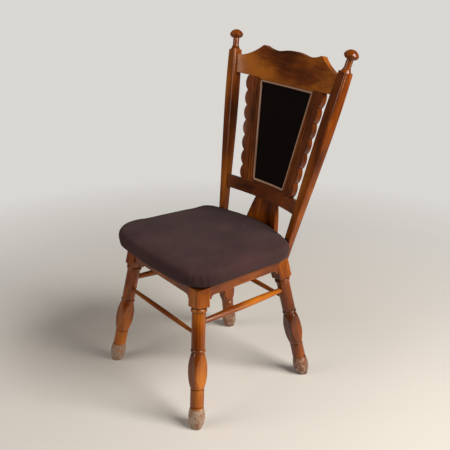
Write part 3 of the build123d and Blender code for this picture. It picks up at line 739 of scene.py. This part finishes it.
def post_place(side, z):
    """Centre line of a post at a height over the floor."""
    share = (z - FRAME_TOP) / POST_RISE
    y = front_y + BACK_FOOT_SETBACK + (z - FRAME_TOP) * math.tan(RAKE)
    return Vector((side * (POST_FOOT_X + (POST_TOP_X - POST_FOOT_X) * share), y))


def gathered(co):
    """Small folds where the cover is drawn down and round the pad's corners."""
    for corner_x, corner_y in PAD_CORNERS:
        away = Vector((co.x - corner_x, co.y - front_y - corner_y))
        outwards = Vector((corner_x, corner_y - PAD_MIDDLE_SETBACK))
        height = (co.z - FOLD_LOW) / (FOLD_HIGH - FOLD_LOW)
        if away.dot(outwards) < 0 or not 0 < height < 1:
            continue
        turned = math.atan2(away.y, away.x) - math.atan2(outwards.y, outwards.x)
        turned = (turned + math.pi) % math.tau - math.pi
        fading = math.sin(math.pi * height) ** FOLD_FADE_POWER
        strength = math.exp(-((turned / FOLD_SPREAD) ** 2)) * fading
        ripple = math.cos(turned * FOLD_COUNT + FOLD_LEAN * height * math.copysign(1, turned))
        co = co + Vector((*away.normalized(), 0)) * (FOLD_DEPTH * strength * ripple)
    return co


def clear_of_posts(co):
    """Moves a point of the pad out of the posts."""
    for side in (1, -1):
        centre = post_place(side, co.z)
        half = POST_HALF + POST_HALF_GROWTH * (co.z - FRAME_TOP)
        away = Vector((co.x, co.y)) - centre
        total = sum(abs(part / half) ** POST_SQUARENESS for part in away)
        reach = total ** (1 / POST_SQUARENESS)
        if 1e-6 < reach < 1:
            co.x = centre.x + away.x / reach
            co.y = centre.y + away.y / reach
    return co


def remeshed(piece, voxel):
    """Gives a closed piece an even mesh, without the rings it was drawn from."""
    grid = piece.modifiers.new("even", "REMESH")
    grid.mode, grid.voxel_size = "VOXEL", voxel
    evaluated = piece.evaluated_get(bpy.context.evaluated_depsgraph_get())
    mesh = bpy.data.meshes.new_from_object(evaluated)
    piece.modifiers.remove(grid)
    piece.data = mesh
    mesh.shade_smooth()


def swollen(piece):
    """Lets the cover swell as cloth about its stuffing, held where it is tacked down."""
    start = [v.co.copy() for v in piece.data.vertices]
    held = piece.vertex_groups.new(name="tacked")
    held.add([i for i, co in enumerate(start) if co.z < TACKED_BELOW], 1.0, "REPLACE")
    cloth = piece.modifiers.new("cloth", "CLOTH")
    cloth.settings.use_pressure = True
    cloth.settings.uniform_pressure_force = SWELL_PRESSURE
    cloth.settings.effector_weights.gravity = 0.0
    cloth.settings.vertex_group_mass = held.name
    cloth.settings.quality = SWELL_QUALITY
    cloth.point_cache.frame_end = SWELL_FRAMES
    for step in range(1, SWELL_FRAMES + 1):
        bpy.context.scene.frame_set(step)
    result = piece.evaluated_get(bpy.context.evaluated_depsgraph_get()).to_mesh()
    ends = [v.co.copy() for v in result.vertices]
    piece.modifiers.remove(cloth)
    piece.vertex_groups.clear()
    for vertex, old, new in zip(piece.data.vertices, start, ends):
        move = new - old
        vertex.co = old + move * min(1.0, SWELL_CAP / max(move.length, 1e-9))


def smoothed(piece, rounds):
    """Evens out small steps, each point moved halfway to the mean of its neighbours."""
    mesh = piece.data
    count = len(mesh.vertices)
    ends = np.empty(len(mesh.edges) * 2, int)
    mesh.edges.foreach_get("vertices", ends)
    pairs = ends.reshape(-1, 2)
    places = np.empty(count * 3)
    mesh.vertices.foreach_get("co", places)
    places = places.reshape(-1, 3)
    links = np.bincount(pairs.ravel(), minlength=count)[:, None]
    for _ in range(rounds):
        total = np.zeros_like(places)
        np.add.at(total, pairs[:, 0], places[pairs[:, 1]])
        np.add.at(total, pairs[:, 1], places[pairs[:, 0]])
        places = (places + total / links) / 2
    mesh.vertices.foreach_set("co", places.ravel())
    mesh.update()


def joined(piece, points, faces):
    """Adds a loose shell to a piece's mesh."""
    work = bmesh.new()
    work.from_mesh(piece.data)
    made = [work.verts.new(p) for p in points]
    for face in faces:
        work.faces.new([made[i] for i in face]).smooth = True
    work.to_mesh(piece.data)
    work.free()


seat_fabric = fabric_material("seat_fabric", *SEAT_CLOTH)
seat_cover = new_piece("seat_cushion", *pad_mesh(), seat_fabric)
remeshed(seat_cover, PAD_VOXEL)
smoothed(seat_cover, PAD_SMOOTHING)
swollen(seat_cover)
smoothed(seat_cover, SWOLLEN_SMOOTHING)
for vertex in seat_cover.data.vertices:
    vertex.co = clear_of_posts(gathered(vertex.co))
joined(seat_cover, *board_edge_band())
rounding = seat_cover.modifiers.new("rounding", "SUBSURF")
rounding.levels = rounding.render_levels = 1
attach(seat_cover, "root")
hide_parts("seat_pad")


# Panel in the back
def back_point(x, height, depth):
    """Point of the bowed back: x from its middle, height up its slope, depth behind it."""
    half = POST_FOOT_X + (POST_TOP_X - POST_FOOT_X) / POST_RISE * math.cos(RAKE) * height
    radius = (half**2 + BACK_BOW**2) / (2 * BACK_BOW)
    bowed = BACK_BOW - radius + math.sqrt(radius**2 - x**2)
    origin = Vector((0, front_y + BACK_FOOT_SETBACK, FRAME_TOP))
    return origin + across * x + back_up * height + back_out * (bowed + depth)


def panel_half(height):
    """Half width of the panel at a height up the slope."""
    share = (height - PANEL_LOW) / (PANEL_HIGH - PANEL_LOW)
    return PANEL_LOW_X + (PANEL_HIGH_X - PANEL_LOW_X) * share


def crowded(i, count):
    """Share of the way across, its steps closer together towards both edges."""
    share = i / count
    return share - math.sin(math.tau * share) / math.tau * PANEL_EDGE_CROWDING


def panel_cushion(name, face, rear, crown, inset, edge_r, material):
    """Crowned, closed pad in the panel's outline, its edges rolled over to its rear face."""
    low, high = PANEL_LOW + inset, PANEL_HIGH - inset
    flip = face > rear

    def spot(u, v, depth):
        height = low + (high - low) * v
        return back_point((panel_half(height) - inset) * (2 * u - 1), height, depth)

    def bulge(u, v):
        to_side = min(u, 1 - u) * 2 * panel_half((low + high) / 2)
        to_end = min(v, 1 - v) * (high - low)
        rolled = min(1.0, min(to_side, to_end) / edge_r)
        edge = math.sqrt(1 - (1 - rolled) ** 2)
        dome = (math.sin(math.pi * u) * math.sin(math.pi * v)) ** PANEL_DOME_POWER
        return rear + (face - rear) * edge + crown * dome * (1 if flip else -1)

    grid = [
        (crowded(i, PANEL_COLUMNS), crowded(j, PANEL_ROWS))
        for j in range(PANEL_ROWS + 1)
        for i in range(PANEL_COLUMNS + 1)
    ]
    points = [spot(u, v, bulge(u, v)) for u, v in grid] + [spot(u, v, rear) for u, v in grid]
    faces = []
    wide = PANEL_COLUMNS + 1
    for j in range(PANEL_ROWS):
        for i in range(PANEL_COLUMNS):
            here, above = j * wide + i, (j + 1) * wide + i
            quad = (here, here + 1, above + 1, above)
            back = tuple(len(grid) + k for k in quad)
            faces += [quad[::-1], back] if flip else [quad, back[::-1]]
    piece = new_piece(name, points, faces, material)
    merge = piece.modifiers.new("closed edge", "WELD")
    merge.merge_threshold = WELD_REACH
    return piece


back_cushion = panel_cushion(
    "back_cushion",
    face=PANEL_FACE,
    rear=PANEL_REAR,
    crown=0.0015,
    inset=PIPING_R,
    edge_r=0.008,
    material=fabric_material("back_fabric", *BACK_CLOTH),
)
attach(back_cushion, "root")
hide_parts("back_pad")

rear_cover = panel_cushion(
    "rear_cloth",
    face=REAR_CLOTH_OUTER,
    rear=REAR_CLOTH_INNER,
    crown=0.0012,
    inset=0.0006,
    edge_r=0.0020,
    material=fabric_material("rear_fabric", *SEAT_CLOTH),
)
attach(rear_cover, "root")
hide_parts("rear_cover")


def piping_path():
    """Closed path round the panel on the bowed back, with rounded corners."""
    inset = PIPING_R + PIPING_GAP
    low, high = PANEL_LOW + inset, PANEL_HIGH - inset
    low_x, high_x = panel_half(low) - inset, panel_half(high) - inset
    corners = [Vector(p) for p in ((-low_x, low), (low_x, low), (high_x, high), (-high_x, high))]
    flat = []
    for i, here in enumerate(corners):
        before = (corners[i - 1] - here).normalized()
        after = (corners[(i + 1) % 4] - here).normalized()
        start, end = here + before * PIPING_CORNER_R, here + after * PIPING_CORNER_R
        for k in range(PIPING_CORNER_STEPS + 1):
            t = k / PIPING_CORNER_STEPS
            flat.append(start * (1 - t) ** 2 + here * 2 * t * (1 - t) + end * t**2)
        last = corners[(i + 1) % 4] - after * PIPING_CORNER_R
        steps = max(2, round((last - end).length / PIPING_SPACING))
        flat += [end.lerp(last, k / steps) for k in range(1, steps)]
    return [back_point(p.x, p.y, PIPING_DEPTH) for p in flat]


def tube(name, path, radius, sides, material):
    """Closed round cord along a closed path."""
    points = []
    for i, p in enumerate(path):
        way = (path[(i + 1) % len(path)] - path[i - 1]).normalized()
        first = (back_out - way * back_out.dot(way)).normalized()
        second = way.cross(first)
        for k in range(sides):
            angle = math.tau * k / sides
            points.append(p + (first * math.cos(angle) + second * math.sin(angle)) * radius)
    return new_piece(name, points, ring_faces(len(path), sides, closed=True), material)


piping_fabric = fabric_material("piping_fabric", *PIPING_CLOTH)
piping = tube("back_piping", piping_path(), PIPING_R, PIPING_SIDES, piping_fabric)
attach(piping, "root")
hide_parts("back_piping_front")


# Screws under the corner braces
def prism(loop, low_z, high_z, start):
    """Points and faces of a closed upright prism, its face numbers counted from a start."""
    count = len(loop)
    points = [(*p, low_z) for p in loop] + [(*p, high_z) for p in loop]
    low = [start + i for i in range(count)]
    high = [start + count + i for i in range(count)]
    faces = [(low[i - 1], low[i], high[i], high[i - 1]) for i in range(count)]
    return points, faces + [low[::-1], high]


def screw_head(name, place, turn, material):
    """Slotted screw head seen from below: a plate with a half disc each side of its slot."""
    middle = place.xy
    half = math.acos(SCREW_SLOT / 2 / SCREW_R)
    plate = circle_arc(middle, SCREW_R, 0, math.tau, SCREW_SIDES)
    points, faces = prism(plate, place.z - SCREW_RISE / 4, place.z, 0)
    for facing in (turn, turn + math.pi):
        disc = circle_arc(middle, SCREW_R, facing - half, facing + half, SCREW_SIDES // 2)
        disc.append(on_circle(middle, SCREW_R, facing + half))
        more, sides = prism(disc, place.z - SCREW_RISE, place.z - SCREW_RISE / 4, len(points))
        points, faces = points + more, faces + sides
    return new_piece(name, points, faces, material, smooth=False)


steel = steel_material()
for name in ("brace_front_left", "brace_front_right"):
    low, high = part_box(name)
    under = Vector(((low.x + high.x) / 2, (low.y + high.y) / 2, low.z))
    turn = math.copysign(SCREW_TURN, under.x)
    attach(screw_head(name + "_screw", under, turn, steel), "root")


# Stage and lamps
def stage_floor():
    """Pale floor, clear towards its rim and from below."""
    shader = Shader("pale_floor")
    cloud = shader.noise(shader.coords, scale=1.3)
    shader.set(Base_Color=shader.mix(cloud, FLOOR_DARK, FLOOR_LIGHT))
    shader.set(Roughness=0.6, Specular_IOR_Level=0.2)
    distance = shader.node("VectorMath", {"operation": "LENGTH"})
    shader.feed(distance.inputs[0], shader.coords)
    fade = shader.spread(distance.outputs["Value"], *FLOOR_FADE)
    fade = shader.math("MAXIMUM", fade, shader.node("NewGeometry").outputs["Backfacing"])
    both = shader.node("MixShader")
    shader.feed(both.inputs[0], fade)
    shader.feed(both.inputs[1], shader.surface.outputs[0])
    shader.feed(both.inputs[2], shader.node("BsdfTransparent").outputs[0])
    shader.feed(shader.tree.nodes["Material Output"].inputs["Surface"], both.outputs[0])
    rim = circle_arc(Vector((0, 0)), FLOOR_REACH, 0, math.tau, FLOOR_SIDES)
    disc = [(*p, 0) for p in rim]
    floor = new_piece("floor", disc, [tuple(range(FLOOR_SIDES))], shader.material, smooth=False)
    floor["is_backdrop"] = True


def soft_light(name, place, target, size, power, colour):
    """Oblong area lamp aimed at a point."""
    data = bpy.data.lights.new(name, "AREA")
    data.shape, data.energy, data.color = "RECTANGLE", power, colour
    data.size, data.size_y = size
    lamp = bpy.data.objects.new(name, data)
    lamp.location = place
    lamp.rotation_euler = (Vector(target) - Vector(place)).to_track_quat("-Z", "Y").to_euler()
    lamp.visible_camera = False
    bpy.context.scene.collection.objects.link(lamp)


def background():
    """Faint light from all round, and a pale background for the camera alone."""
    world = bpy.data.worlds.new("studio")
    bpy.context.scene.world = world
    world.use_nodes = True
    tree = world.node_tree
    light = tree.nodes["Background"]
    light.inputs["Color"].default_value = SKY_COLOUR
    light.inputs["Strength"].default_value = SKY_LIGHT
    seen = tree.nodes.new("ShaderNodeBackground")
    seen.inputs["Color"].default_value = SEEN_BACKGROUND
    seen.inputs["Strength"].default_value = 1.0
    rays = tree.nodes.new("ShaderNodeLightPath")
    both = tree.nodes.new("ShaderNodeMixShader")
    tree.links.new(rays.outputs["Is Camera Ray"], both.inputs[0])
    tree.links.new(light.outputs[0], both.inputs[1])
    tree.links.new(seen.outputs[0], both.inputs[2])
    tree.links.new(both.outputs[0], tree.nodes["World Output"].inputs["Surface"])


stage_floor()
background()
for name, lamp in LAMPS.items():
    soft_light(name, *lamp)

camera = bpy.data.objects.new("camera", bpy.data.cameras.new("camera"))
camera.data.lens = CAMERA_LENS
camera.data.sensor_width = CAMERA_SENSOR
camera.location = CAMERA_PLACE + Vector((0, front_y, 0))
camera.rotation_euler = (CAMERA_AIM - camera.location).to_track_quat("-Z", "Y").to_euler()
bpy.context.scene.collection.objects.link(camera)
bpy.context.scene.camera = camera
bpy.context.scene.view_settings.view_transform = "Standard"

low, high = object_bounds()
